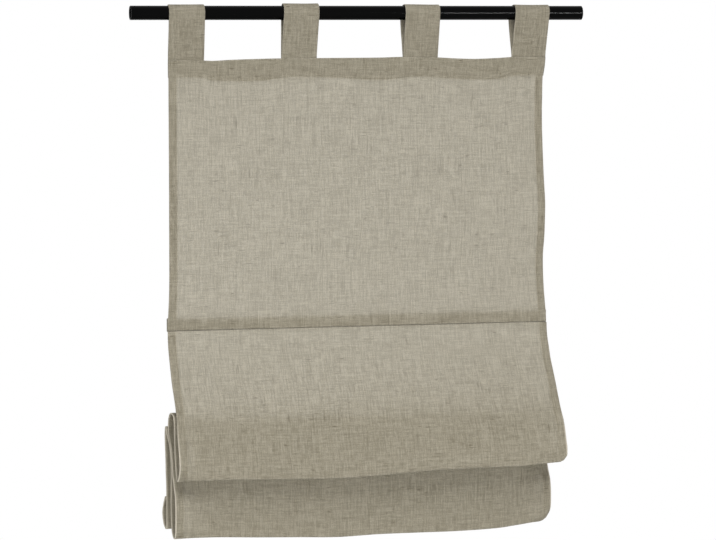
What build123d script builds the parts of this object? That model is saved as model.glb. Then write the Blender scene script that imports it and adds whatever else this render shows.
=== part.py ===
from build123d import *
import os

os.makedirs("parts", exist_ok=True)

# A linen roman blind that hangs by four tab loops on a round rod, partly raised.
# Millimetres. X runs along the rod, Y points to the back, Z is up.
# The origin is on the rod's axis, half way along it.
# A drop is measured downwards, and a forward measure towards the room.

# Rod, a plain tube with straight cut ends
rod_overhang = 58.0
rod_diameter = 22.0
rod_wall = 1.0
rod_edge = 0.3

# Linen, and the room left between plies that are sewn together
cloth = 0.6
ply_gap = 0.2

# Panel and its side hems, which are turned to the back
panel_width = 600.0
hem_width = 12.0
hem_turns = 2

# Header, with a facing strip over the tab ends on its back
header_drop = 71.0
header_height = 31.0
facing_step = 3.0
facing_room = 0.8

# Tab loops, doubled strips with both ends sewn into the header
tab_width = 55.0
tab_thickness = 1.6
tab_clear = 0.3
tab_end = 27.0
tab_place_shares = (0.0, 0.323, 0.677, 1.0)

# Battens, each in a tuck of the panel
batten_width = 17.0
batten_thickness = 3.0
batten_clear = 0.3
batten_inset = 8.0
batten_round = 1.2
tuck_round = 1.2
tuck_neck = 3.0

# Front panel under the top tuck, down to the first fold
first_tuck_drop = 485.0
shoulder_drop = 35.0
shoulder_radius = 70.0
first_fold_forward = 95.0
elbow_rise = 62.0
elbow_radius = 90.0
crease_radius = 6.0

# First fold, which hangs in front of the second tuck
second_tuck_step = 147.0
second_tuck_forward = 15.0
first_fold_hang = 70.0
first_back_rise = 47.0
first_back_lean = 7.0
first_back_radius = 20.0

# Second fold, which hangs lower, between the second and third tucks
second_fold_forward = 50.0
second_fold_hang = 168.0
second_front_rise = 103.0
second_back_rise = 88.0
second_back_lean = 8.0
second_fold_radius = 60.0

# Tail behind the folds, with a weight bar in the bottom hem
third_tuck_step = 24.0
third_tuck_back = 15.0
tail_back = 38.0
tail_hang = 139.0
tail_rise = 12.0
tail_radius = 40.0
bottom_hem = 50.0
bottom_turn = 8.0
bar_width = 20.0
bar_thickness = 3.0
bar_clear = 0.3
bar_inset = 3.0
bar_round = 0.8

# Cord rings, sewn on the back in two columns beside the outer tabs
ring_room = 4.2
ring_outer = 14.0
ring_wire = 2.0
ring_sides = 24
ring_chamfer = 0.55
ring_clear = 0.2

# Sizes that follow from the ones above
rod_radius = rod_diameter / 2
rod_length = panel_width + 2 * rod_overhang
half_ply = cloth / 2
half_seam = (cloth + ply_gap) / 2
hem_extra = hem_turns * cloth
hem_bend = half_ply + hem_extra + ply_gap
leg_offset = (tab_thickness + ply_gap) / 2
leg_face = leg_offset + tab_thickness / 2
panel_plane = -(leg_face + ply_gap + hem_extra + half_ply)
facing_plane = leg_face + ply_gap + half_ply
facing_low = panel_plane + cloth + ply_gap
header_foot = -(header_drop + header_height)
tuck_depth = batten_thickness + 2 * batten_clear + cloth
tuck_rise = batten_width + 2 * batten_clear + half_ply
crease_width = 2 * crease_radius + ply_gap
hem_space = max(bar_thickness + 2 * bar_clear + cloth, 2 * hem_bend + ply_gap)
hem_round = (hem_space - ply_gap) / 2

# Heights of the tuck seams, creases and foot
first_seam = -first_tuck_drop
second_seam = first_seam - second_tuck_step
third_seam = second_seam - third_tuck_step
first_crease = second_seam - first_fold_hang
second_crease = second_seam - second_fold_hang
foot = third_seam - tail_hang

# Depths of the layers, with the back positive
first_front = panel_plane - first_fold_forward
first_back = first_front + crease_width
second_front = panel_plane - second_fold_forward
second_back = second_front + crease_width
second_tuck = panel_plane - second_tuck_forward
third_tuck = panel_plane + third_tuck_back
tail = panel_plane + tail_back

# Walls of the top tuck, which is pressed upwards against the panel's back
first_tuck_wall = panel_plane + 2 * hem_bend + ply_gap
first_tuck_back = first_tuck_wall + tuck_depth
first_tuck_top = first_seam - half_seam + half_ply + tuck_rise


def moved_line(path, distance):
    # A path of (across, up, radius) corners, moved to its left by a distance
    corners = [Vector(across, up) for across, up, radius in path]
    steps = [(after - before).normalized() for before, after in zip(corners, corners[1:])]
    normals = [Vector(-step.Y, step.X) for step in steps]
    points = [corners[0] + normals[0] * distance]
    radii = []
    for index in range(1, len(corners) - 1):
        before = normals[index - 1]
        after = normals[index]
        mitre = (before + after).normalized()
        points.append(corners[index] + mitre * (distance / mitre.dot(after)))
        radius = path[index][2]
        turns_left = steps[index - 1].cross(steps[index]).Z > 0
        shift = -distance if turns_left else distance
        radii.append(radius + shift if radius else 0)
    points.append(corners[-1] + normals[-1] * distance)
    return points, FilletPolyline(*points, radius=radii)


def ply_section(path, left, right):
    # A sheet's section, from its path moved to both sides
    left_points, left_line = moved_line(path, left)
    right_points, right_line = moved_line(path, -right)
    start = Line(left_points[0], right_points[0])
    end = Line(left_points[-1], right_points[-1])
    return make_face(left_line.edges() + right_line.edges() + start.edges() + end.edges())


def along_rod(section, start, end):
    # A section of depth and height, drawn out along the rod
    return extrude(Plane.YZ.offset(start) * section, end - start)


def standing_tuck(depth, seam):
    # A tuck that stands up from its seam, with both layers hanging under it
    wall = tuck_depth / 2
    shoulder = seam + tuck_neck
    return [
        (depth - half_seam, seam, hem_bend),
        (depth - wall, shoulder, tuck_round),
        (depth - wall, shoulder + tuck_rise, tuck_round),
        (depth + wall, shoulder + tuck_rise, tuck_round),
        (depth + wall, shoulder, tuck_round),
        (depth + half_seam, seam, 0),
    ]


def panel_path():
    # The one sheet, followed from the header to the bottom hem, front layer first
    top_tuck = [
        (panel_plane, -header_drop, 0),
        (panel_plane, first_seam + half_seam, hem_bend),
        (first_tuck_wall, first_seam + half_seam, hem_bend),
        (first_tuck_wall, first_tuck_top, tuck_round),
        (first_tuck_back, first_tuck_top, tuck_round),
        (first_tuck_back, first_seam - half_seam, tuck_round),
        (panel_plane, first_seam - half_seam, hem_bend),
    ]
    first_fold = [
        (panel_plane, first_seam - shoulder_drop, shoulder_radius),
        (first_front, first_crease + elbow_rise, elbow_radius),
        (first_front, first_crease, crease_radius),
        (first_back, first_crease, crease_radius),
        (first_back + first_back_lean, first_crease + first_back_rise, first_back_radius),
    ]
    second_fold = [
        (second_front, second_crease + second_front_rise, second_fold_radius),
        (second_front, second_crease, crease_radius),
        (second_back, second_crease, crease_radius),
        (second_back + second_back_lean, second_crease + second_back_rise, second_fold_radius),
    ]
    bottom = [
        (tail, foot + bottom_hem + tail_rise, tail_radius),
        (tail, foot, hem_round),
        (tail + hem_space, foot, hem_round),
        (tail + hem_space, foot + bottom_hem, 0),
    ]
    second = standing_tuck(second_tuck, second_seam)
    third = standing_tuck(third_tuck, third_seam)
    return top_tuck + first_fold + second + second_fold + third + bottom


def make_panel():
    # The hems thicken the sheet on its back, and a turned edge closes the bottom hem
    path = panel_path()
    edge = panel_width / 2
    inner = edge - hem_width
    plain = ply_section(path, half_ply, half_ply)
    hemmed = ply_section(path, half_ply + hem_extra, half_ply)
    turned_centre = (tail + hem_space / 2, foot + bottom_hem - bottom_turn / 2)
    turned = Pos(*turned_centre) * Rectangle(hem_space, bottom_turn)
    panel = along_rod(plain, -inner, inner)
    panel += along_rod(turned, -inner, inner)
    panel += along_rod(hemmed, -edge, -inner)
    panel += along_rod(hemmed, inner, edge)
    return panel


def tab_places():
    # Middles of the tabs, the outer two flush with the panel's sides
    first = (tab_width - panel_width) / 2
    return [first + share * (panel_width - tab_width) for share in tab_place_shares]


def make_tab(place):
    # A loop that lies over the rod, with its two ends side by side in the header
    inner_radius = rod_radius + tab_clear
    outer_radius = inner_radius + tab_thickness
    inside = leg_offset - tab_thickness / 2
    outer_foot = Line((-leg_face, -header_drop), (leg_face, -header_drop))
    inner_foot = Line((-inside, -header_drop), (inside, -header_drop))
    outer = make_hull(Circle(outer_radius).edges() + outer_foot.edges())
    inner = make_hull(Circle(inner_radius).edges() + inner_foot.edges())
    loop = outer - inner
    for side in (-leg_offset, leg_offset):
        loop += Pos(side, -(header_drop + tab_end / 2)) * Rectangle(tab_thickness, tab_end)
    return along_rod(loop, place - tab_width / 2, place + tab_width / 2)


def make_facing():
    # A strip that steps back over each pair of tab ends and lies on the panel between them
    edge = panel_width / 2
    reach = tab_width / 2 + facing_room
    places = tab_places()
    path = [(-edge, facing_plane, 0)]
    for left, right in zip(places, places[1:]):
        path.append((left + reach, facing_plane, 0))
        path.append((left + reach + facing_step, facing_low, 0))
        path.append((right - reach - facing_step, facing_low, 0))
        path.append((right - reach, facing_plane, 0))
    path.append((edge, facing_plane, 0))
    section = ply_section(path, half_ply, half_ply)
    return extrude(Pos(0, 0, header_foot) * section, header_height)


def make_rod():
    # A tube with its outer edges broken at the cut ends
    section = Circle(rod_radius) - Circle(rod_radius - rod_wall)
    rod = along_rod(section, -rod_length / 2, rod_length / 2)
    outer_edges = rod.edges().filter_by(GeomType.CIRCLE).group_by(SortBy.RADIUS)[-1]
    return chamfer(outer_edges, rod_edge)


def make_strip(length, width, thickness, rounding, depth, height):
    # A flat strip on edge along the rod, with its long edges rounded
    section = Pos(depth, height) * RectangleRounded(thickness, width, rounding)
    return along_rod(section, -length / 2, length / 2)


def make_batten(depth, height):
    length = panel_width - 2 * batten_inset
    return make_strip(length, batten_width, batten_thickness, batten_round, depth, height)


def make_bar():
    length = panel_width - 2 * (hem_width + bar_inset)
    height = foot + hem_round - bar_round + bar_width / 2
    return make_strip(length, bar_width, bar_thickness, bar_round, tail + hem_space / 2, height)


def make_ring(place, back_face, height):
    # A ring of many flat sides, with its edges broken, that hangs flat where it is sewn on
    depth = back_face + ring_clear
    eye = RegularPolygon(ring_outer / 2 - ring_wire, ring_sides, major_radius=False)
    blank = extrude(Plane.XZ * (RegularPolygon(ring_outer / 2, ring_sides) - eye), -ring_wire)
    return Pos(place, depth, height) * chamfer(blank.edges().filter_by(Plane.XZ), ring_chamfer)


# Depth of each batten's tuck, and the height of the batten's lower edge
batten_seats = {
    "batten_top": ((first_tuck_wall + first_tuck_back) / 2, first_seam - half_seam + half_ply),
    "batten_middle": (second_tuck, second_seam + tuck_neck),
    "batten_lower": (third_tuck, third_seam + tuck_neck),
}
batten_rise = batten_clear + batten_width / 2

# Back face and height of each row of rings
ring_rows = {"header": (facing_low + half_ply, header_foot + ring_outer / 2)}

export_step(make_rod(), "parts/hanging_rod.step")
export_step(make_panel(), "parts/fabric_panel.step")
export_step(make_facing(), "parts/header_facing.step")

for number, place in enumerate(tab_places(), start=1):
    export_step(make_tab(place), f"parts/tab_loop_{number}.step")

for name, (depth, seat) in batten_seats.items():
    export_step(make_batten(depth, seat + batten_rise), f"parts/{name}.step")
    ring_rows[name] = (depth + tuck_depth / 2 + half_ply, seat + batten_rise)

export_step(make_bar(), "parts/weight_bar.step")

ring_inset = tab_width + facing_room + facing_step + ring_room + ring_outer / 2
ring_place = panel_width / 2 - ring_inset
for name, (back_face, height) in ring_rows.items():
    row = name.removeprefix("batten_")
    for side, place in (("left", -ring_place), ("right", ring_place)):
        export_step(make_ring(place, back_face, height), f"parts/ring_{row}_{side}.step")
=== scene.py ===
# A linen roman blind on tab loops over a black rod, partly raised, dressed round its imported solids.
import math
from bisect import bisect_right
from collections import namedtuple

import bmesh
import bpy
from mathutils import Matrix, Vector, noise


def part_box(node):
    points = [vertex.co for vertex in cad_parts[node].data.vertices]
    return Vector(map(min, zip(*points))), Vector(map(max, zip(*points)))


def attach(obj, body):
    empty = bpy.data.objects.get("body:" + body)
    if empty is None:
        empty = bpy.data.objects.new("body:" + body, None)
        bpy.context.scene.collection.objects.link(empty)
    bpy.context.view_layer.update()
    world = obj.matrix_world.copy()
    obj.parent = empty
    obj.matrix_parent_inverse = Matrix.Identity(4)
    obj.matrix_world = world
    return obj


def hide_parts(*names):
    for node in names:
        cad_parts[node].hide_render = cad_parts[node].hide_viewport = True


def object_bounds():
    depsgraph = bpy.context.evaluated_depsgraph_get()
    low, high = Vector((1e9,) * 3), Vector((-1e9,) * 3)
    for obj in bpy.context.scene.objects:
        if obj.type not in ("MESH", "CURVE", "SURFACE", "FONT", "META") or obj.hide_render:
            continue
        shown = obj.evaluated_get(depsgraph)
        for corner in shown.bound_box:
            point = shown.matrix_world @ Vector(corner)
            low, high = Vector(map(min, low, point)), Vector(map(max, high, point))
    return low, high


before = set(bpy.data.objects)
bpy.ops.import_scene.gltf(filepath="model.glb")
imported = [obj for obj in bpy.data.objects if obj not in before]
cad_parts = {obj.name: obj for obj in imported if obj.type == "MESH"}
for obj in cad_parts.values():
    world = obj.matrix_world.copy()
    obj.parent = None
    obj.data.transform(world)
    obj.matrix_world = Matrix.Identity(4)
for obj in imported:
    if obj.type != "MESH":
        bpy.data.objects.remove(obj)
cadLow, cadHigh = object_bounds()
mm = 0.001
print("frame loaded with", len(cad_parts), "nodes")


# Small helpers

def linear(hexColour):  # sRGB hex to the linear values that shaders take
    channels = [int(hexColour[i:i + 2], 16) / 255 for i in (1, 3, 5)]
    return [c / 12.92 if c <= 0.04045 else ((c + 0.055) / 1.055) ** 2.4 for c in channels] + [1.0]


def addNode(tree, kind, links=None, **settings):  # a node with its settings, values and links
    node = tree.nodes.new("ShaderNode" + kind)
    for name, value in settings.items():
        setattr(node, name, value)
    for socket, value in (links or {}).items():
        if isinstance(value, bpy.types.NodeSocket):
            tree.links.new(value, node.inputs[socket])
        else:
            node.inputs[socket].default_value = value
    return node


def newMaterial(name):
    material = bpy.data.materials.new(name)
    material.use_nodes = True
    material.node_tree.nodes.clear()
    return material, material.node_tree


def ease(low, high, value):  # 0 below low, 1 above high, smooth between
    share = min(1.0, max(0.0, (value - low) / (high - low)))
    return share * share * (3 - 2 * share)


def along(table, place):  # a smooth line through the marks of a table
    marks = [mark for mark, value in table]
    if place <= marks[0]:
        return table[0][1]
    if place >= marks[-1]:
        return table[-1][1]
    i = bisect_right(marks, place) - 1
    span = marks[i + 1] - marks[i]

    def slope(k):
        before, after = table[max(0, k - 1)], table[min(len(table) - 1, k + 1)]
        return (after[1] - before[1]) / (after[0] - before[0])

    u = (place - marks[i]) / span
    start, end = table[i][1], table[i + 1][1]
    return ((2 * u ** 3 - 3 * u ** 2 + 1) * start + (u ** 3 - 2 * u ** 2 + u) * span * slope(i)
            + (3 * u ** 2 - 2 * u ** 3) * end + (u ** 3 - u ** 2) * span * slope(i + 1))


def newPiece(name, mesh, material):
    piece = bpy.data.objects.new(name, mesh)
    bpy.context.scene.collection.objects.link(piece)
    mesh.materials.append(material)
    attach(piece, "root")
    return piece


# Cloth along a line of folds, each row with its depth, height, left-hand normal and place

shortestRun = 0.05  # mm; a shorter run between two corners gets no rows
sharpFrom = math.radians(50)
sheetRow = namedtuple("sheetRow", "depth height normalDepth normalHeight place")
sheetColumn = namedtuple("sheetColumn", "across lift cut")


def foldRows(corners, runStep, arcSteps, startPlace):  # rows along runs and rounded corners
    rows, place = [], startPlace
    points = [Vector(corner[:2]) for corner in corners]
    here, heading = points[0], (points[1] - points[0]).normalized()

    def addRow(point, direction):
        nonlocal place
        if rows:
            place += (point - Vector((rows[-1].depth, rows[-1].height))).length
        rows.append(sheetRow(point.x, point.y, -direction.y, direction.x, place))

    addRow(here, heading)
    for i in range(1, len(points)):
        radius = corners[i][2]
        turn = 0.0
        if i < len(points) - 1:
            onward = (points[i + 1] - points[i]).normalized()
            turn = math.atan2(heading.cross(onward), heading.dot(onward))
        cut = radius * math.tan(abs(turn) / 2)
        stop = points[i] - heading * cut
        length = (stop - here).length
        count = max(1, round(length / runStep))
        if length > shortestRun:
            for k in range(1, count + 1):
                addRow(here.lerp(stop, k / count), heading)
        if i == len(points) - 1:
            break
        side = 1 if turn > 0 else -1
        centre = stop + Vector((-heading.y, heading.x)) * radius * side
        steps = max(2, round(abs(turn) / math.pi * 2 * arcSteps), round(radius * abs(turn) / runStep))
        for k in range(1, steps + 1):
            angle = math.atan2(heading.y, heading.x) + turn * k / steps
            direction = Vector((math.cos(angle), math.sin(angle)))
            addRow(centre - Vector((-direction.y, direction.x)) * radius * side, direction)
        here, heading = Vector((rows[-1].depth, rows[-1].height)), onward
    return rows


def rowAt(rows, place):  # a row between two rows
    places = [row.place for row in rows]
    i = min(len(rows) - 2, max(0, bisect_right(places, place) - 1))
    share = (place - places[i]) / (places[i + 1] - places[i])
    return sheetRow(*[a + (b - a) * share for a, b in zip(rows[i], rows[i + 1])])


def gridSheet(columns, rows, placePoint, clipped=None, patternStart=0.0):
    bm = bmesh.new()  # a grid whose points are then laid along the folds
    bmesh.ops.create_grid(bm, x_segments=len(columns) - 1, y_segments=len(rows) - 1, size=1.0)
    uvLayer = bm.loops.layers.uv.new("clothMap")
    flat = {}
    for vert in bm.verts:
        column = columns[round((vert.co.x + 1) / 2 * (len(columns) - 1))]
        row = rows[round((vert.co.y + 1) / 2 * (len(rows) - 1))]
        flat[vert] = (column, row)
        vert.co = placePoint(column, row) * mm
    for face in bm.faces:
        for loop in face.loops:
            column, row = flat[loop.vert]
            loop[uvLayer].uv = ((column.cut + patternStart) * mm, (row.place + patternStart) * mm)
    if clipped:
        spare = [f for f in bm.faces if all(clipped(*flat[v]) for v in f.verts)]
        bmesh.ops.delete(bm, geom=spare, context="FACES")
    return bm


def thickened(name, bm, thick, material):  # the finished cloth, with its thickness applied
    mesh = bpy.data.meshes.new(name)
    bm.to_mesh(mesh)
    bm.free()
    piece = newPiece(name, mesh, material)
    ply = piece.modifiers.new("ply", "SOLIDIFY")
    ply.thickness, ply.offset = thick * mm, 0.0
    ply.use_even_offset = False
    ply.use_quality_normals = True
    depsgraph = bpy.context.evaluated_depsgraph_get()
    finished = bpy.data.meshes.new_from_object(piece.evaluated_get(depsgraph))
    piece.modifiers.clear()
    piece.data = finished
    finished.name = name
    finished.polygons.foreach_set("use_smooth", [True] * len(finished.polygons))
    finished.set_sharp_from_angle(angle=sharpFrom)
    print(name, "has", sum(len(p.vertices) - 2 for p in finished.polygons), "triangles")
    return piece


# Materials

weave = {
    # mm; real linen threads are finer than a pixel here, so threads and slubs are drawn coarser
    "thread": 0.8,
    # unevenness of the yarn: across, along, where its pattern starts, share in the sum
    "yarns": [(16.0, 1.3, 3.0, 0.7), (1.3, 16.0, 17.0, 0.9),  # slubs of the weft and of the warp
              (60.0, 2.4, 31.0, 0.55), (2.4, 60.0, 47.0, 0.7),  # longer streaks
              (1.4, 1.4, 61.0, 1.15)],  # grain of the crossings
    "darkest": 1.76, "palest": 2.29,
    # dark slubs: across, along, where its pattern starts, and the values it shows between
    "flecks": [(13.0, 1.2, 5.0, 0.70, 0.78), (26.0, 9.6, 23.0, 0.66, 0.73),  # in the weft
               (0.9, 39.0, 71.0, 0.73, 0.80), (9.6, 52.0, 83.0, 0.58, 0.66)],  # in the warp
    # a painted highlight, a pale band in the colour at the hem's turned edge, lies between these, in m across
    # from the middle and along from the header
    "paintedHighlightInside": (0.2976, 0.2990), "paintedHighlightOutside": (0.3030, 0.3015), "paintedHighlightBelow": (0.60, 0.66),
    "relief": 0.15, "through": 0.5,
}


def bandScale(spacing):  # the wave node's bands stand about pi / 10 apart at a scale of 1
    return math.pi / (10 * spacing * mm)


def linenCloth():  # undyed plain weave flax: matt, uneven threads both ways, some light through the weave
    material, tree = newMaterial("undyedLinen")
    flat = addNode(tree, "UVMap", uv_map="clothMap").outputs["UV"]
    yarn = 0.0
    for wide, long, seed, share in weave["yarns"]:
        scaled = addNode(tree, "Mapping", {"Vector": flat, "Location": (seed, seed / 3, 0),
                                           "Scale": (1 / (wide * mm), 1 / (long * mm), 1)})
        spun = addNode(tree, "TexNoise", {"Vector": scaled.outputs[0], "Scale": 1.0, "Detail": 2.0,
                                          "Roughness": 0.6}, noise_dimensions="2D").outputs["Fac"]
        yarn = addNode(tree, "Math", {0: spun, 1: share, 2: yarn}, operation="MULTIPLY_ADD").outputs[0]
    shade = addNode(tree, "MapRange", {"Value": yarn, "From Min": weave["darkest"],
                                       "From Max": weave["palest"]}).outputs[0]
    colour = addNode(tree, "Mix", {0: shade, 6: linear("#9F9783"), 7: linear("#CAC2AE")}, data_type="RGBA")
    # a few coarse dark slubs across and down, each where two patterns meet
    flecks = []
    for wide, long, seed, low, high in weave["flecks"]:
        scaled = addNode(tree, "Mapping", {"Vector": flat, "Location": (seed, seed * 2, 0),
                                           "Scale": (1 / (wide * mm), 1 / (long * mm), 1)})
        spread = addNode(tree, "TexNoise", {"Vector": scaled.outputs[0], "Scale": 1.0, "Detail": 0.0},
                         noise_dimensions="2D").outputs["Fac"]
        shown = addNode(tree, "MapRange", {"Value": spread, "From Min": low, "From Max": high})
        flecks.append(shown.outputs[0])
    across = addNode(tree, "Math", {0: flecks[0], 1: flecks[1]}, operation="MULTIPLY").outputs[0]
    fleck = addNode(tree, "Math", {0: flecks[2], 1: flecks[3], 2: across}, operation="MULTIPLY_ADD",
                    use_clamp=True).outputs[0]
    colour = addNode(tree, "Mix", {0: fleck, 6: colour.outputs[2], 7: linear("#877E6A")}, data_type="RGBA")
    # painted highlight: a pale band in the colour where the turned edges of the side hems stand open at the
    # folds, in place of the light they catch
    split = addNode(tree, "SeparateXYZ", {0: flat}).outputs
    cut = addNode(tree, "Math", {0: split[0]}, operation="ABSOLUTE").outputs[0]
    stops = []
    for value, (start, end) in ((cut, weave["paintedHighlightInside"]), (cut, weave["paintedHighlightOutside"]),
                                (split[1], weave["paintedHighlightBelow"])):
        stop = addNode(tree, "MapRange", {"Value": value, "From Min": start, "From Max": end})
        stops.append(stop.outputs[0])
    edge = addNode(tree, "Math", {0: stops[0], 1: stops[1]}, operation="MULTIPLY").outputs[0]
    edge = addNode(tree, "Math", {0: edge, 1: stops[2]}, operation="MULTIPLY").outputs[0]
    # the pale colour mixed in here is the painted highlight on the hems' turned edges
    colour = addNode(tree, "Mix", {0: edge, 6: colour.outputs[2], 7: linear("#EEE5D2")}, data_type="RGBA")
    # plain weave, one thread over and one under in each direction
    bands = []
    for direction in ("X", "Y"):
        band = addNode(tree, "TexWave", {"Vector": flat, "Scale": bandScale(weave["thread"]),
                                         "Distortion": 0.0}, bands_direction=direction)
        bands.append(band.outputs["Fac"])
    woven = addNode(tree, "Math", {0: bands[0], 1: bands[1]}, operation="MULTIPLY").outputs[0]
    height = addNode(tree, "Math", {0: woven, 1: 0.5, 2: yarn}, operation="MULTIPLY_ADD").outputs[0]
    bump = addNode(tree, "Bump", {"Height": height, "Strength": 0.35,
                                  "Distance": weave["relief"] * mm}).outputs[0]
    cloth = addNode(tree, "BsdfPrincipled", {"Base Color": colour.outputs[2], "Roughness": 0.92,
                                             "Normal": bump, "Specular IOR Level": 0.15,
                                             "Sheen Weight": 0.08, "Sheen Roughness": 0.5})
    through = addNode(tree, "BsdfTranslucent", {"Color": linear("#CBCBC9"), "Normal": bump})
    mixed = addNode(tree, "MixShader", {0: weave["through"], 1: cloth.outputs[0], 2: through.outputs[0]})
    addNode(tree, "OutputMaterial", {"Surface": mixed.outputs[0]})
    return material


def sewingThread():  # spun polyester in the cloth's own colour, with a slight lustre along its twist
    material, tree = newMaterial("sewingThread")
    place = addNode(tree, "TexCoord").outputs["Object"]
    twist = addNode(tree, "TexWave", {"Vector": place, "Scale": bandScale(0.4), "Distortion": 1.0},
                    bands_direction="DIAGONAL").outputs["Fac"]
    colour = addNode(tree, "Mix", {0: twist, 6: linear("#857C66"), 7: linear("#A79D86")}, data_type="RGBA")
    bump = addNode(tree, "Bump", {"Height": twist, "Strength": 0.4, "Distance": 0.05 * mm}).outputs[0]
    strand = addNode(tree, "BsdfPrincipled", {"Base Color": colour.outputs[2], "Roughness": 0.6,
                                              "Normal": bump, "Specular IOR Level": 0.3})
    addNode(tree, "OutputMaterial", {"Surface": strand.outputs[0]})
    return material


def powderCoat():  # black polyester powder on steel tube: near black, satin, a very fine orange peel
    material, tree = newMaterial("satinBlackPowderCoat")
    place = addNode(tree, "TexCoord").outputs["Object"]
    peel = addNode(tree, "TexNoise", {"Vector": place, "Scale": 1 / (1.2 * mm), "Detail": 2.0}).outputs["Fac"]
    dust = addNode(tree, "TexNoise", {"Vector": place, "Scale": 1 / (45 * mm), "Detail": 4.0}).outputs["Fac"]
    colour = addNode(tree, "Mix", {0: dust, 6: linear("#010101"), 7: linear("#030303")}, data_type="RGBA")
    gloss = addNode(tree, "MapRange", {"Value": dust, "To Min": 0.07, "To Max": 0.10}).outputs[0]
    bump = addNode(tree, "Bump", {"Height": peel, "Strength": 0.12, "Distance": 0.03 * mm}).outputs[0]
    coat = addNode(tree, "BsdfPrincipled", {"Base Color": colour.outputs[2], "Roughness": gloss,
                                            "Normal": bump, "Specular IOR Level": 0.05})
    addNode(tree, "OutputMaterial", {"Surface": coat.outputs[0]})
    return material


def extrudedVinyl():  # white PVC strip: faint draw lines along its length
    material, tree = newMaterial("extrudedWhiteVinyl")
    place = addNode(tree, "TexCoord").outputs["Object"]
    drawn = addNode(tree, "Mapping", {"Vector": place,
                                      "Scale": (1 / (90 * mm), 1 / (0.7 * mm), 1 / (0.7 * mm))}).outputs[0]
    lines = addNode(tree, "TexNoise", {"Vector": drawn, "Scale": 1.0, "Detail": 3.0}).outputs["Fac"]
    colour = addNode(tree, "Mix", {0: lines, 6: linear("#DAD9D2"), 7: linear("#E9E8E3")}, data_type="RGBA")
    bump = addNode(tree, "Bump", {"Height": lines, "Strength": 0.2, "Distance": 0.05 * mm}).outputs[0]
    strip = addNode(tree, "BsdfPrincipled", {"Base Color": colour.outputs[2], "Roughness": 0.45,
                                             "Normal": bump})
    addNode(tree, "OutputMaterial", {"Surface": strip.outputs[0]})
    return material


def millAluminium():  # flat bar as it leaves the mill: soft grey metal with fine lines from the die
    material, tree = newMaterial("millAluminium")
    place = addNode(tree, "TexCoord").outputs["Object"]
    drawn = addNode(tree, "Mapping", {"Vector": place,
                                      "Scale": (1 / (140 * mm), 1 / (0.4 * mm), 1 / (0.4 * mm))}).outputs[0]
    lines = addNode(tree, "TexNoise", {"Vector": drawn, "Scale": 1.0, "Detail": 4.0}).outputs["Fac"]
    rough = addNode(tree, "MapRange", {"Value": lines, "To Min": 0.32, "To Max": 0.5}).outputs[0]
    colour = addNode(tree, "Mix", {0: lines, 6: linear("#C2C3C4"), 7: linear("#DCDDDE")}, data_type="RGBA")
    bar = addNode(tree, "BsdfPrincipled", {"Base Color": colour.outputs[2], "Metallic": 1.0,
                                           "Roughness": rough})
    addNode(tree, "OutputMaterial", {"Surface": bar.outputs[0]})
    return material


def mouldedRing():  # off-white acetal moulding: smooth, a little uneven in tone
    material, tree = newMaterial("mouldedOffWhiteAcetal")
    place = addNode(tree, "TexCoord").outputs["Object"]
    flow = addNode(tree, "TexNoise", {"Vector": place, "Scale": 1 / (5 * mm), "Detail": 2.0}).outputs["Fac"]
    colour = addNode(tree, "Mix", {0: flow, 6: linear("#E3DED2"), 7: linear("#EFEBE1")}, data_type="RGBA")
    rough = addNode(tree, "MapRange", {"Value": flow, "To Min": 0.28, "To Max": 0.38}).outputs[0]
    ring = addNode(tree, "BsdfPrincipled", {"Base Color": colour.outputs[2], "Roughness": rough, "IOR": 1.48})
    addNode(tree, "OutputMaterial", {"Surface": ring.outputs[0]})
    return material


linen, thread, coat = linenCloth(), sewingThread(), powderCoat()
vinyl, aluminium, acetal = extrudedVinyl(), millAluminium(), mouldedRing()
print("materials made")

# The panel, one sheet from the header to the bottom hem

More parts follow.
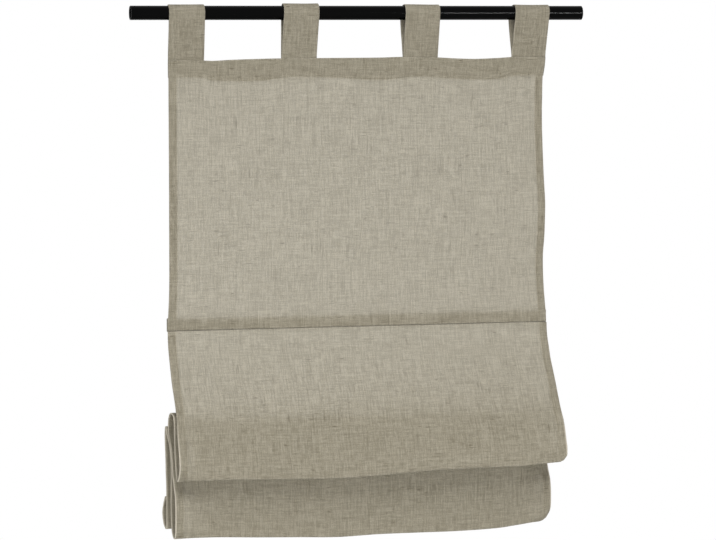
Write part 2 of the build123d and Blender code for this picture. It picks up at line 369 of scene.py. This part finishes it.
panel = {
    "thick": 0.5, "plyPitch": 0.62, "halfWidth": 300.0, "hem": 12.0, "rawEdge": 0.6,
    "columnStep": 5.0, "runStep": 7.5, "arcSteps": 4, "startPlace": -13.3,
    # depth, height and corner radius of the fold line, from the turned-in top edge down (mm)
    "foldLine": [
        (-2.78, -84, 0), (-2.78, -71, 0.31), (-3.4, -71, 0.31),
        (-3.4, -484.6, 1.7), (0.2, -484.6, 1.7), (0.2, -467.2, 1.2), (4.4, -467.2, 1.2), (4.4, -485.4, 1.2),
        (-3.4, -485.4, 1.7), (-3.4, -505, 60), (-98.4, -684, 30), (-98.4, -702, 2.2), (-86.2, -702, 9),
        (-78, -672, 40), (-57, -617, 6), (-43, -617, 7), (-36, -643, 9),
        (-18.8, -632, 1.2), (-20.5, -629, 1.2), (-20.5, -611.1, 1.2), (-16.3, -611.1, 1.2),
        (-16.3, -629, 1.2), (-18.0, -632, 0.4), (-53.4, -697, 60), (-53.4, -800, 2.2), (-41.2, -800, 9),
        (-33.2, -712, 60), (11.2, -656, 1.7), (9.5, -653, 1.2), (9.5, -635.1, 1.2), (13.7, -635.1, 1.2),
        (13.7, -653, 1.2), (12.0, -656, 0.4), (34.6, -733, 40), (34.6, -795, 2), (38.8, -795, 2),
        (38.8, -745, 0.31), (38.18, -745, 0.31), (38.18, -753, 0)],
    # where the same sheet runs at its ends, where the tucks are open: place along it, depth and height
    "openEnd": [
        (595, -60.5, -603.5), (611, -68, -617), (629, -76, -633.5), (655, -88.5, -658), (673, -94, -675.5),
        (685, -92, -687), (696, -85, -697), (706, -74, -705), (713, -66.5, -702), (730, -59, -688),
        (755, -53.5, -667), (786, -50, -643), (811, -49, -622), (826, -45, -613.5), (844, -34, -610),
        (875, -18.4, -610.3), (887, -6, -616), (900, 1, -629), (911, 2, -641), (926, -9, -653),
        (940, -20, -664), (956, -26, -681), (974, -32, -700), (994, -43, -719.5), (1006, -51, -729.5),
        (1023, -56, -748), (1052, -55.5, -779), (1067, -52, -795), (1077, -43, -801), (1088, -32, -798.5),
        (1097, -25, -793), (1112, -19, -779), (1127, -17, -763), (1153, -18, -736), (1183, -20.5, -703),
        (1209, -20, -676), (1227, -12.5, -658), (1247, 4, -644.5), (1258, 9, -637), (1263, 11.6, -634.8),
        (1268, 14.2, -637), (1276, 16, -645), (1293, 17, -662), (1318, 21, -688), (1341, 29, -710),
        (1364, 33, -733), (1381, 34.6, -750), (1409, 34.6, -779), (1423, 32.5, -793), (1430, 37, -797.5),
        (1437, 44, -793), (1447, 48.5, -782), (1457, 49, -771), (1469, 44, -757), (1480, 38, -746),
        (1481.5, 37.6, -745.7), (1489.5, 37.2, -753.5)],
    # how far across the opening starts, above and below the first crease, and where along each side
    "curlFrom": 272.0, "openFrom": 245.0, "openBelow": (700, 745),
    "leftFrom": (575, 650), "rightFrom": (722, 765),
    "twist": 8.5,  # the first fold stands out further at the right
    # how far the side edges stand in or out, by the place along the sheet
    "leftEdge": [(0, 0), (300, 0), (350, -0.5), (395, -2.5), (413, -3.2), (465, -3.2), (500, -3.1),
                 (543, -2.4), (565, -1.1), (588, -0.1), (611, -1), (633, -2.5), (655, -3), (1185, -3),
                 (1227, -4.2), (1247, -5.2), (1285, -5.2), (1318, -3.4), (1364, -0.2), (1423, -0.4),
                 (1437, -2.5), (1457, -4), (1475, -2.2), (1490, -0.6)],
    "rightEdge": [(0, -1.5), (14, -3), (31, -5.5), (60, -6.2), (100, -6.4), (180, -3.2), (225, -0.4),
                  (254, -0.6), (280, -1.4), (310, -3.6), (350, -2.6), (375, -0.8), (395, 1), (413, 2.2),
                  (465, 3), (500, 3.6), (520, 3.2), (543, 4), (565, 4.7), (588, 4.9), (611, 5.4),
                  (633, 6.9), (656, 6.4), (680, 5.2), (700, 5), (715, 5), (760, 3), (853, 0), (899, 0),
                  (972, -4.5), (1073, -4.4), (1083, -4.4), (1170, -4), (1241, 0), (1490, 0)],
    # rise and fall of the header's edges and of the two creases, by the place across
    "headerTop": [(-300, 0), (-245, -1.5), (-230, -2), (-205, -0.6), (-158, 0.8), (-127, 1.4), (-32, 1.8),
                  (31, 2.1), (66, 3), (120, 2.2), (150, 0.6), (184, -0.5), (224, 0.9), (245, 2.2),
                  (300, 2.4)],
    "headerFoot": [(-300, 3), (-275, 3.4), (-252, 3), (-230, -1.2), (-195, -2.2), (-158, -1.8), (-125, 1.6),
                   (-95, 4), (-65, 3.4), (-32, 2.1), (0, 0), (31, -1.3), (60, 0), (95, 3), (125, 1.6),
                   (160, -0.4), (195, -1.2), (225, -0.8), (257, 5), (282, 5.2), (300, 5)],
    "firstCrease": [(-300, -2), (-225, -2), (-180, -3.2), (-117, -4.6), (-54, -5.1), (8, -2.9), (72, 0.9),
                    (136, 3.2), (200, 3.9), (232, 4.6), (257, 6.5), (289, 8.6), (300, 9)],
    "secondCrease": [(-300, 1.5), (-242, 2.4), (-170, -0.8), (-107, -3.2), (-44, -5.6), (20, -3.9),
                     (84, -4), (149, -4.3), (214, -2.4), (247, 1.2), (271, 3.6), (300, 5.5)],
    # places along the sheet: where the folds swing free, from and until
    "firstFold": ((472, 690), (722, 800)), "turnedFold": ((472, 690), (790, 847)),
    "secondFold": ((909, 1064), (1093, 1231)), "headerDeep": 31, "headerFade": (40, 140),
    # tucks and hem that the battens and bar hold straight, the two creases with their corners,
    # the foot, and the turned-in edges whose corners are clipped
    "sewn": [(403, 472), (841, 909), (1231, 1295), (1376, 1500)], "sewnFade": (8, 70),
    "creases": [(705.0, 13.0), (1078.0, 18.0)], "cornerRound": 0.98, "cornerFade": (6, 42),
    "foot": 1433.0, "footTurn": 1482.0, "headTurn": -0.6, "clipIn": 2,
    "hemSewn": (-768, -752), "hemPressed": 2.3, "hemLoose": (235, 255),
    # slow waves of the hung cloth, and puckers along the seams
    "wave": 2.2, "waveAcross": 150, "waveAlong": 190, "waveFrom": (8, 90),
    "seams": (31.0, 411.0, 464.0), "pucker": 0.9, "puckerLong": 11, "puckerFrom": (0.5, 7),
    # places of the rings' ties, and how far they draw the cloth back
    "ties": ((24.0, 0.6), (402.0, 1.5)), "tieReach": 7,
}
ringAcross, headerHeight = 230.0, -71.0


def hemColumns():  # across the sheet, with a hem turned twice to the back at each side
    half, pitch = panel["halfWidth"], panel["plyPitch"]
    side, cut = [], half - pitch
    for k in range(1, 5):  # outer turn
        angle = math.pi * k / 4
        side.append((half - pitch + pitch * math.sin(angle), pitch - pitch * math.cos(angle),
                     cut + pitch * angle))
    cut += pitch * math.pi
    inner = half - panel["hem"] + pitch / 2
    reach = half - pitch - inner
    for share in (0.5, 1.0):  # back ply
        side.append((half - pitch - reach * share, 2 * pitch, cut + reach * share))
    cut += reach
    for k in range(1, 4):  # inner turn
        angle = math.pi * k / 3
        side.append((inner - pitch / 2 * math.sin(angle), pitch * (1.5 + 0.5 * math.cos(angle)),
                     cut + pitch / 2 * angle))
    cut += pitch / 2 * math.pi
    tucked = reach - panel["rawEdge"]
    for share in (0.5, 1.0):  # raw edge between the plies
        side.append((inner + tucked * share, pitch, cut + tucked * share))
    count = round(2 * (half - pitch) / panel["columnStep"])
    middle = [(-1 + 2 * k / count) * (half - pitch) for k in range(count + 1)]
    columns = [sheetColumn(-across, lift, -cutPlace) for across, lift, cutPlace in reversed(side)]
    columns += [sheetColumn(across, 0.0, across) for across in middle]
    return columns + [sheetColumn(*entry) for entry in side]


def openRow(place):  # the sheet's run at an open end
    depths = [(mark, depth) for mark, depth, height in panel["openEnd"]]
    heights = [(mark, height) for mark, depth, height in panel["openEnd"]]
    here = Vector((along(depths, place), along(heights, place)))
    ahead = Vector((along(depths, place + 0.5), along(heights, place + 0.5)))
    before = Vector((along(depths, place - 0.5), along(heights, place - 0.5)))
    heading = (ahead - before).normalized()
    return sheetRow(here.x, here.y, -heading.y, heading.x, place)


def panelLine(across, row):  # the sheet's run at a place across: folded straight, and open towards both ends
    start, end = panel["turnedFold"]
    turned = ease(*start, row.place) * (1 - ease(*end, row.place))
    run = row._replace(depth=row.depth - panel["twist"] * across / panel["halfWidth"] * turned)
    begins = panel["leftFrom"] if across < 0 else panel["rightFrom"]
    inner = panel["curlFrom"] + (panel["openFrom"] - panel["curlFrom"]) * ease(*panel["openBelow"], row.place)
    share = ease(inner, panel["halfWidth"], abs(across)) * ease(*begins, row.place)
    if share == 0:
        return run
    return sheetRow(*[a + (b - a) * share for a, b in zip(run, openRow(row.place))])


def panelShift(across, place):  # how the hung sheet departs from straight folds
    share = 0.5 + across / (2 * panel["halfWidth"])
    dx = along(panel["leftEdge"], place) * (1 - share) + along(panel["rightEdge"], place) * share
    header = ease(0, panel["headerDeep"], place)
    dz = along(panel["headerTop"], across) * (1 - header)
    dz += along(panel["headerFoot"], across) * header * (1 - ease(*panel["headerFade"], place))
    for crease, fold in (("firstCrease", "firstFold"), ("secondCrease", "secondFold")):
        start, end = panel[fold]
        dz += along(panel[crease], across) * (ease(*start, place) * (1 - ease(*end, place)))
    for crease, radius in panel["creases"]:  # lower right corners of the folds are rounded
        over = min(1.0, max(0.0, (across - panel["halfWidth"] + radius) / radius))
        rounded = radius * (1 - math.sqrt(1 - panel["cornerRound"] * over ** 2))
        dz += rounded * (1 - ease(*panel["cornerFade"], abs(place - crease)))
    loose, (near, far) = ease(*panel["waveFrom"], place), panel["sewnFade"]
    for start, end in panel["sewn"]:
        loose *= 1 - ease(start - far, start - near, place) * (1 - ease(end + near, end + far, place))
    waved = noise.noise(Vector((across / panel["waveAcross"], place / panel["waveAlong"], 4.0)))
    dy = panel["wave"] * loose * waved
    for seam in panel["seams"]:
        off = abs(place - seam)
        beside = math.exp(-off / panel["puckerLong"]) * ease(*panel["puckerFrom"], off)
        dy += panel["pucker"] * beside * noise.noise(Vector((across / panel["puckerLong"], seam, 9.0)))
    return dx, dy, dz


def panelPoint(column, row):
    run = panelLine(column.across, row)
    dx, dy, dz = panelShift(column.across, row.place)
    depth = run.depth + column.lift * run.normalDepth + dy
    for tiePlace, pull in panel["ties"]:
        off = math.hypot(abs(column.across) - ringAcross, row.place - tiePlace)
        depth += pull * math.exp(-(off / panel["tieReach"]) ** 2)
    if row.place > panel["foot"]:  # the back of the bottom hem lies against the tail where it is sewn
        pressed = ease(*panel["hemSewn"], row.height) * (1 - ease(*panel["hemLoose"], abs(column.across)))
        depth -= panel["hemPressed"] * pressed
    return Vector((column.across + dx, depth, run.height + column.lift * run.normalHeight + dz))


def panelClipped(column, row):  # corners of the turned-in edges, cut away to lie flat
    turned = row.place < panel["headTurn"] or row.place > panel["footTurn"]
    return turned and abs(column.cut) > panel["halfWidth"] - panel["hem"] - panel["clipIn"]


panelRows = foldRows(panel["foldLine"], panel["runStep"], panel["arcSteps"], panel["startPlace"])
panelColumns = hemColumns()
panelSheet = thickened("linen_panel", gridSheet(panelColumns, panelRows, panelPoint, panelClipped),
                       panel["thick"], linen)
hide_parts("fabric_panel")

# Header facing, a strip with its edges turned in, stepped over the tab ends

facing = {
    "thick": 0.5, "plyPitch": 0.62, "halfWidth": 299.0, "endTurn": 8.0, "columnStep": 3.0, "runStep": 4.0,
    "arcSteps": 3,
    # a doubled strip: seam allowance, inner ply, fold at the foot, outer ply
    "foldLine": [(0, -84, 0), (0, -72, 0.31), (0.62, -72, 0.31), (0.62, -85, 3), (0, -90, 3), (0, -102, 0.31),
                 (0.62, -102, 0.31), (0.62, -89.5, 3), (1.24, -84.5, 3), (1.24, -72, 0)],
    "overTabs": 2.0, "onPanel": -2.16, "step": (28.6, 36),  # the step beside a tab's middle
    "allowance": 12.0, "clipIn": 2,
}
tabPlaces = (-272.5, -96.465, 96.465, 272.5)


def facingColumns():
    half, pitch = facing["halfWidth"], facing["plyPitch"]
    count = round(2 * half / facing["columnStep"])
    middle = [(-1 + 2 * k / count) * half for k in range(count + 1)]
    side, cut = [], half
    for k in range(1, 4):  # the end's turn
        angle = math.pi * k / 3
        side.append((half + pitch / 2 * math.sin(angle), -pitch / 2 * (1 - math.cos(angle)),
                     cut + pitch / 2 * angle))
    cut += pitch / 2 * math.pi
    for share in (0.5, 1.0):  # turned-in end
        side.append((half - facing["endTurn"] * share, -pitch, cut + facing["endTurn"] * share))
    columns = [sheetColumn(-across, lift, -cutPlace) for across, lift, cutPlace in reversed(side)]
    columns += [sheetColumn(across, 0.0, across) for across in middle]
    return columns + [sheetColumn(*entry) for entry in side]


def facingDepth(across):
    nearest = min(abs(across - tabPlace) for tabPlace in tabPlaces)
    return facing["overTabs"] + (facing["onPanel"] - facing["overTabs"]) * ease(*facing["step"], nearest)


def facingPoint(column, row):
    dx, dy, dz = panelShift(column.across, headerHeight - row.height)
    depth = facingDepth(column.across) + row.depth + column.lift + dy
    return Vector((column.across + dx, depth, row.height + dz))


def facingClipped(column, row):
    clipFrom = facing["halfWidth"] - facing["endTurn"] - facing["clipIn"]
    return row.place < facing["allowance"] and abs(column.cut) > clipFrom


facingRows = foldRows(facing["foldLine"], facing["runStep"], facing["arcSteps"], 0.0)
facingSheet = thickened("linen_facing", gridSheet(facingColumns(), facingRows, facingPoint, facingClipped),
                        facing["thick"], linen)
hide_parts("header_facing")
print("facing laid from", len(facingRows), "rows")

# Tab loops, each a flat tube of cloth over the rod with both ends in the header

tabs = {
    "thick": 0.5, "width": 55.0, "plyGap": 0.76, "runStep": 5.0, "arcSteps": 7, "flatSteps": 12,
    "foldLine": [(-1.7, -98, 0), (-1.7, -70, 20), (-14.19, 12.1, 12.1), (14.19, 12.1, 12.1), (0.9, -71, 20),
                 (0.9, -98, 0)],
    # sideways lean of each loop at its front foot, front top and back top, and the way along to each
    "frontFoot": (0.0, 0.0, 0.0, -1.5), "frontTop": (0.0, 2.3, 1.5, 2.5), "backTop": (3.4, 2.5, -1.4, -2.5),
    "footLong": 27, "frontLong": 105, "backLong": 95,
    "rise": (0.0, 1.6, 0.4, -0.2), "riseFrom": (0, 12),
    # waves and a slight cup of the loose cloth between the header and the rod
    "looseFrom": (30, 60), "wave": 0.5, "waveAcross": 40, "waveAlong": 45, "cup": 0.7,
    "patternStep": 410.0,
}


def tubeColumns():  # round the flat tube, front ply first
    half, bend = tabs["width"] / 2, tabs["plyGap"] / 2
    flat, steps = half - bend, tabs["flatSteps"]
    section = []
    for side in (1, -1):
        section += [(side * (-flat + 2 * flat * k / steps), side * bend) for k in range(steps + 1)]
        for angle in (math.pi / 4, math.pi / 2, 3 * math.pi / 4):
            section.append((side * (flat + bend * math.sin(angle)), side * bend * math.cos(angle)))
    section.append(section[0])
    columns, cut = [], 0.0
    for i, (across, lift) in enumerate(section):
        if i:
            cut += math.dist(section[i - 1], section[i])
        columns.append(sheetColumn(across, lift, cut))
    return columns


tabRows = foldRows(tabs["foldLine"], tabs["runStep"], tabs["arcSteps"], 0.0)
tabLength = tabRows[-1].place
for number, tabPlace in enumerate(tabPlaces):
    lean = [(0, tabs["frontFoot"][number]), (tabs["footLong"], tabs["frontFoot"][number]),
            (tabs["frontLong"], tabs["frontTop"][number]), (tabLength / 2, tabs["frontTop"][number]),
            (tabLength - tabs["backLong"], tabs["backTop"][number]), (tabLength - tabs["footLong"], 0),
            (tabLength, 0)]

    def tabPoint(column, row):
        wave = noise.noise(Vector((column.across / tabs["waveAcross"], row.place / tabs["waveAlong"],
                                   number * 7.0)))
        near, far = tabs["looseFrom"]
        loose = ease(near, far, row.place) * (1 - ease(tabLength - far, tabLength - near, row.place))
        lift = column.lift + tabs["wave"] * wave * loose
        lift += tabs["cup"] * loose * (column.across / tabs["width"]) ** 2
        up = row.height + lift * row.normalHeight + tabs["rise"][number] * ease(*tabs["riseFrom"], row.height)
        across = tabPlace + column.across + along(lean, row.place)
        if row.height < headerHeight:  # the foot goes in with the header's own edge
            across += panelShift(column.across + tabPlace, headerHeight - row.height)[0]
            across -= panelShift(column.across + tabPlace, 0.0)[0]
        return Vector((across, row.depth + lift * row.normalDepth, up))

    bm = gridSheet(tubeColumns(), tabRows, tabPoint, patternStart=tabs["patternStep"] * (number + 1))
    bmesh.ops.remove_doubles(bm, verts=bm.verts, dist=0.01 * mm)
    bmesh.ops.recalc_face_normals(bm, faces=bm.faces)
    sheet = thickened(f"linen_tab_{number + 1}", bm, tabs["thick"], linen)
    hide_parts(f"tab_loop_{number + 1}")
tubeRound = tubeColumns()[-1].cut * mm
print("tabs looped, length", tabLength)

# Stitching, short threads that dip into the cloth

stitching = {
    "long": 2.6, "step": 3.3, "thick": 0.42, "flatter": 0.8, "stand": 0.1,
    # rows across: half their length, and their places along the panel or height on the facing
    "headerHalf": 297, "headerRow": 29.2, "facingRow": -100.2,
    "bottomHalf": 284, "bottomRows": (1381.0, 1478.0),
    # rows down the side hems: distance in from the hem's inner edge, and the stretches between the tucks
    "hemIn": 1.6, "hemStretches": [(34, 408), (468, 849), (901, 1237), (1291, 1425)],
    # the ties of the rings, where they come through to the front
    "tieLong": 3.2, "tieAcross": 0.5, "tieDown": 0.7, "tieTurn": 0.4,
}


def addStitch(bm, point, direction, outward, long):
    sideways = direction.cross(outward).normalized()
    turn = Matrix((sideways, direction.normalized(), outward.normalized())).transposed().to_4x4()
    radius = stitching["thick"] / 2
    shape = Matrix.Diagonal((radius, long / 2, radius * stitching["flatter"], 1))
    bmesh.ops.create_icosphere(bm, subdivisions=1, radius=mm,
                               matrix=Matrix.Translation(point * mm) @ turn @ shape)


def panelFace(across, place, lift):  # a point on or off the panel, and the way along and out of it
    column = sheetColumn(across, lift, across)
    here = panelPoint(column, rowAt(panelRows, place))
    ahead = panelPoint(column, rowAt(panelRows, place + 1.0))
    aside = panelPoint(sheetColumn(across + 1.0, lift, across), rowAt(panelRows, place))
    return here, ahead - here, aside - here


def stitchPlaces(start, end):  # middles of the stitches between two ends
    return [start + stitching["step"] * (k + 0.5) for k in range(int((end - start) / stitching["step"]))]


bm = bmesh.new()
outside = -panel["thick"] / 2 - stitching["stand"]
behind = 2 * panel["plyPitch"] - outside
offFacing = facing["thick"] / 2 + stitching["stand"]
facingRow = sheetRow(facing["plyPitch"], stitching["facingRow"], 1.0, 0.0, 40.0)
for across in stitchPlaces(-stitching["headerHalf"], stitching["headerHalf"]):  # header and its facing
    here, down, aside = panelFace(across, stitching["headerRow"], outside)
    addStitch(bm, here, aside, aside.cross(down), stitching["long"])
    here = facingPoint(sheetColumn(across, 0.0, across), facingRow)
    aside = facingPoint(sheetColumn(across + 1, 0.0, across), facingRow) - here
    here.y += offFacing
    addStitch(bm, here, aside, Vector((0, 1, 0)), stitching["long"])
hemSeam = panel["halfWidth"] - panel["hem"] + stitching["hemIn"]
for side in (-1, 1):  # down both hems, on the front and on the hem's own back
    for start, end in stitching["hemStretches"]:
        for place in stitchPlaces(start, end):
            here, down, aside = panelFace(side * hemSeam, place, outside)
            addStitch(bm, here, down, aside.cross(down), stitching["long"])
            here, down, aside = panelFace(side * hemSeam, place, behind)
            addStitch(bm, here, down, down.cross(aside), stitching["long"])
for across in stitchPlaces(-stitching["bottomHalf"], stitching["bottomHalf"]):  # across the bottom hem
    for place in stitching["bottomRows"]:
        here, down, aside = panelFace(across, place, outside)
        addStitch(bm, here, aside, aside.cross(down), stitching["long"])
for side in (-1, 1):  # cross stitches that hold the rings
    for place, pull in panel["ties"]:
        for k in (-1, 0, 1):
            here, down, aside = panelFace(side * ringAcross + stitching["tieAcross"] * k,
                                          place + stitching["tieDown"] * k, outside)
            slanted = aside + down * stitching["tieTurn"] * k
            addStitch(bm, here, slanted, aside.cross(down), stitching["tieLong"])
mesh = bpy.data.meshes.new("stitching")
bm.to_mesh(mesh)
bm.free()
mesh.polygons.foreach_set("use_smooth", [True] * len(mesh.polygons))
stitches = newPiece("stitching", mesh, thread)
print("stitching has", len(mesh.polygons), "triangles")

# Cord rings, moulded and sewn on by a few turns of thread

rings = {
    "middleRadius": 6.0, "wire": 1.0, "wireSides": 12, "roundSteps": 40, "offHeader": 0.9,
    "tieRadius": 1.35, "tieWire": 0.22, "tieSides": 6, "tieSteps": 16, "tieStep": 0.55, "tieLean": 0.16,
}


def finishMesh(name, bm, weld):  # a smooth closed mesh, with its seam welded
    bmesh.ops.remove_doubles(bm, verts=bm.verts, dist=weld * mm)
    bmesh.ops.recalc_face_normals(bm, faces=bm.faces)
    mesh = bpy.data.meshes.new(name)
    bm.to_mesh(mesh)
    bm.free()
    mesh.polygons.foreach_set("use_smooth", [True] * len(mesh.polygons))
    return mesh


ringPieces = []
for row in ("header", "top", "middle", "lower"):
    for side in ("left", "right"):
        node = f"ring_{row}_{side}"
        low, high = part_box(node)
        centre = (low + high) / 2
        if row == "header":
            centre.y += rings["offHeader"] * mm
        bm = bmesh.new()
        bmesh.ops.create_circle(bm, segments=rings["wireSides"], radius=rings["wire"] * mm,
                                matrix=Matrix.Translation((rings["middleRadius"] * mm, 0, 0)))
        bmesh.ops.spin(bm, geom=bm.verts[:] + bm.edges[:], cent=(0, 0, 0), axis=(0, 1, 0), angle=2 * math.pi,
                       steps=rings["roundSteps"], use_merge=True)
        bmesh.ops.translate(bm, verts=bm.verts, vec=centre)
        ring = newPiece(f"cord_{node}", finishMesh(f"cord_{node}", bm, 0.005), acetal)
        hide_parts(node)
        bm = bmesh.new()
        for k in (-1, 0, 1):  # turns of thread round the ring's top
            lean = rings["tieLean"] * k
            hub = centre + Vector((rings["tieStep"] * k * mm, 0, rings["middleRadius"] * mm))
            over = Matrix.Translation((0, 0, rings["tieRadius"] * mm))
            start = Matrix.Translation(hub) @ Matrix.Rotation(lean, 4, "Y") @ over
            strand = bmesh.ops.create_circle(bm, segments=rings["tieSides"], radius=rings["tieWire"] * mm,
                                             matrix=start)
            section = strand["verts"]
            edges = list({edge for vert in section for edge in vert.link_edges})
            bmesh.ops.rotate(bm, verts=section, cent=hub + Vector((0, 0, rings["tieRadius"] * mm)),
                             matrix=Matrix.Rotation(math.pi / 2, 3, "Y"))
            bmesh.ops.spin(bm, geom=section + edges, cent=hub, axis=(math.cos(lean), 0, -math.sin(lean)),
                           angle=2 * math.pi, steps=rings["tieSteps"], use_merge=True)
        tie = newPiece(f"tie_{row}_{side}", finishMesh(f"tie_{row}_{side}", bm, 0.004), thread)
        ringPieces += [ring, tie]
print("rings sewn on:", len(ringPieces) // 2)

# Finishes of the solids that show as they are

battens = ["batten_top", "batten_middle", "batten_lower"]
finishes = {"hanging_rod": coat, "weight_bar": aluminium} | {batten: vinyl for batten in battens}
for node, finish in finishes.items():
    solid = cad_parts[node]
    solid.data.materials.clear()
    solid.data.materials.append(finish)

# The facing's flat width in m, worked out and not kept

2 * facingColumns()[-1].cut * mm

# Stage, light and camera

stage = {"floorDrop": 0.32, "floorRadius": 1.55, "floorSides": 96, "fadeFrom": 0.6, "fadeTo": 1.5}  # m
floorHeight = cadLow.z - stage["floorDrop"]
bm = bmesh.new()
bmesh.ops.create_circle(bm, cap_ends=True, segments=stage["floorSides"], radius=stage["floorRadius"],
                        matrix=Matrix.Translation((0, 0, floorHeight)))
mesh = bpy.data.meshes.new("floor")
bm.to_mesh(mesh)
bm.free()
floor = bpy.data.objects.new("floor", mesh)
bpy.context.scene.collection.objects.link(floor)
material, tree = newMaterial("paleFloor")  # white paper, which fades into the white surround at its rim
place = addNode(tree, "TexCoord").outputs["Object"]
flatPlace = addNode(tree, "VectorMath", {0: place, 1: (1, 1, 0)}, operation="MULTIPLY").outputs[0]
far = addNode(tree, "VectorMath", {0: flatPlace}, operation="LENGTH").outputs["Value"]
rim = addNode(tree, "MapRange", {"Value": far, "From Min": stage["fadeFrom"], "From Max": stage["fadeTo"]},
              interpolation_type="SMOOTHSTEP")
paper = addNode(tree, "BsdfDiffuse", {"Color": linear("#F4F4F2")})
glow = addNode(tree, "Emission", {"Color": (1, 1, 1, 1), "Strength": 1.0})
mixed = addNode(tree, "MixShader", {0: rim.outputs[0], 1: paper.outputs[0], 2: glow.outputs[0]})
addNode(tree, "OutputMaterial", {"Surface": mixed.outputs[0]})
mesh.materials.append(material)

light = {
    "surround": 0.40,
    # power in W, size, place and aim in m
    "front": (27.2, (1.6, 0.6), (-0.3, -2.6, -0.9), (0, 0, -0.6)),  # low, under the folds
    "high": (214.0, (3.6, 4.2), (-0.4, -3.8, 4.2), (0, 0, -0.4)),
    "back": (4.25, (1.6, 0.14), (-0.5, 0.85, -0.5), (-0.1, 0, -0.5)),  # through the cloth
    "strip": (47.0, (1.0, 0.05), (1.45, -3.0, -0.1), (0.2, 0, 0)),  # a line of light along the rod
}
world = bpy.data.worlds.new("softSurround")
bpy.context.scene.world = world
world.use_nodes = True
tree = world.node_tree
tree.nodes.clear()
path = addNode(tree, "LightPath").outputs
seen = path["Is Camera Ray"]
for ray in ("Is Glossy Ray", "Is Transmission Ray"):
    seen = addNode(tree, "Math", {0: seen, 1: path[ray]}, operation="MAXIMUM").outputs[0]
soft = addNode(tree, "Background", {"Color": (1, 1, 1, 1), "Strength": light["surround"]})
white = addNode(tree, "Background", {"Color": (1, 1, 1, 1), "Strength": 1.0})
mixed = addNode(tree, "MixShader", {0: seen, 1: soft.outputs[0], 2: white.outputs[0]})
addNode(tree, "OutputWorld", {"Surface": mixed.outputs[0]})


def softbox(name):
    power, size, place, aim = light[name]
    lamp = bpy.data.lights.new(name + "Softbox", "AREA")
    lamp.shape, lamp.size, lamp.size_y, lamp.energy = "RECTANGLE", size[0], size[1], power
    box = bpy.data.objects.new(name + "Softbox", lamp)
    bpy.context.scene.collection.objects.link(box)
    box.location = place
    box.rotation_euler = (Vector(aim) - Vector(place)).to_track_quat("-Z", "Y").to_euler()
    return box


boxes = {name: softbox(name) for name in ("front", "high", "back", "strip")}
boxes["front"].visible_glossy = boxes["high"].visible_glossy = False  # the rod shows the strip alone
boxes["strip"].visible_diffuse = boxes["strip"].visible_transmission = False  # and lights nothing else

view = {"azimuth": -14.0, "elevation": 4.9, "distance": 4.63426, "target": (-0.00779, -0.020, -0.39573),
        "focalPixels": 3000.0, "frameWidth": 716.0, "sensor": 36.0}
camera = bpy.data.objects.new("camera", bpy.data.cameras.new("camera"))
bpy.context.scene.collection.objects.link(camera)
camera.data.sensor_fit = "HORIZONTAL"
camera.data.sensor_width = view["sensor"]
camera.data.lens = view["sensor"] * view["focalPixels"] / view["frameWidth"]
azimuth, elevation = math.radians(view["azimuth"]), math.radians(view["elevation"])
back = Vector((math.sin(azimuth) * math.cos(elevation), -math.cos(azimuth) * math.cos(elevation),
               math.sin(elevation)))
camera.location = Vector(view["target"]) + back * view["distance"]
camera.rotation_euler = (-back).to_track_quat("-Z", "Y").to_euler()
camera.data.clip_end = 50
bpy.context.scene.camera = camera
bpy.context.scene.view_settings.view_transform = "Standard"
print("stage, light and camera set")
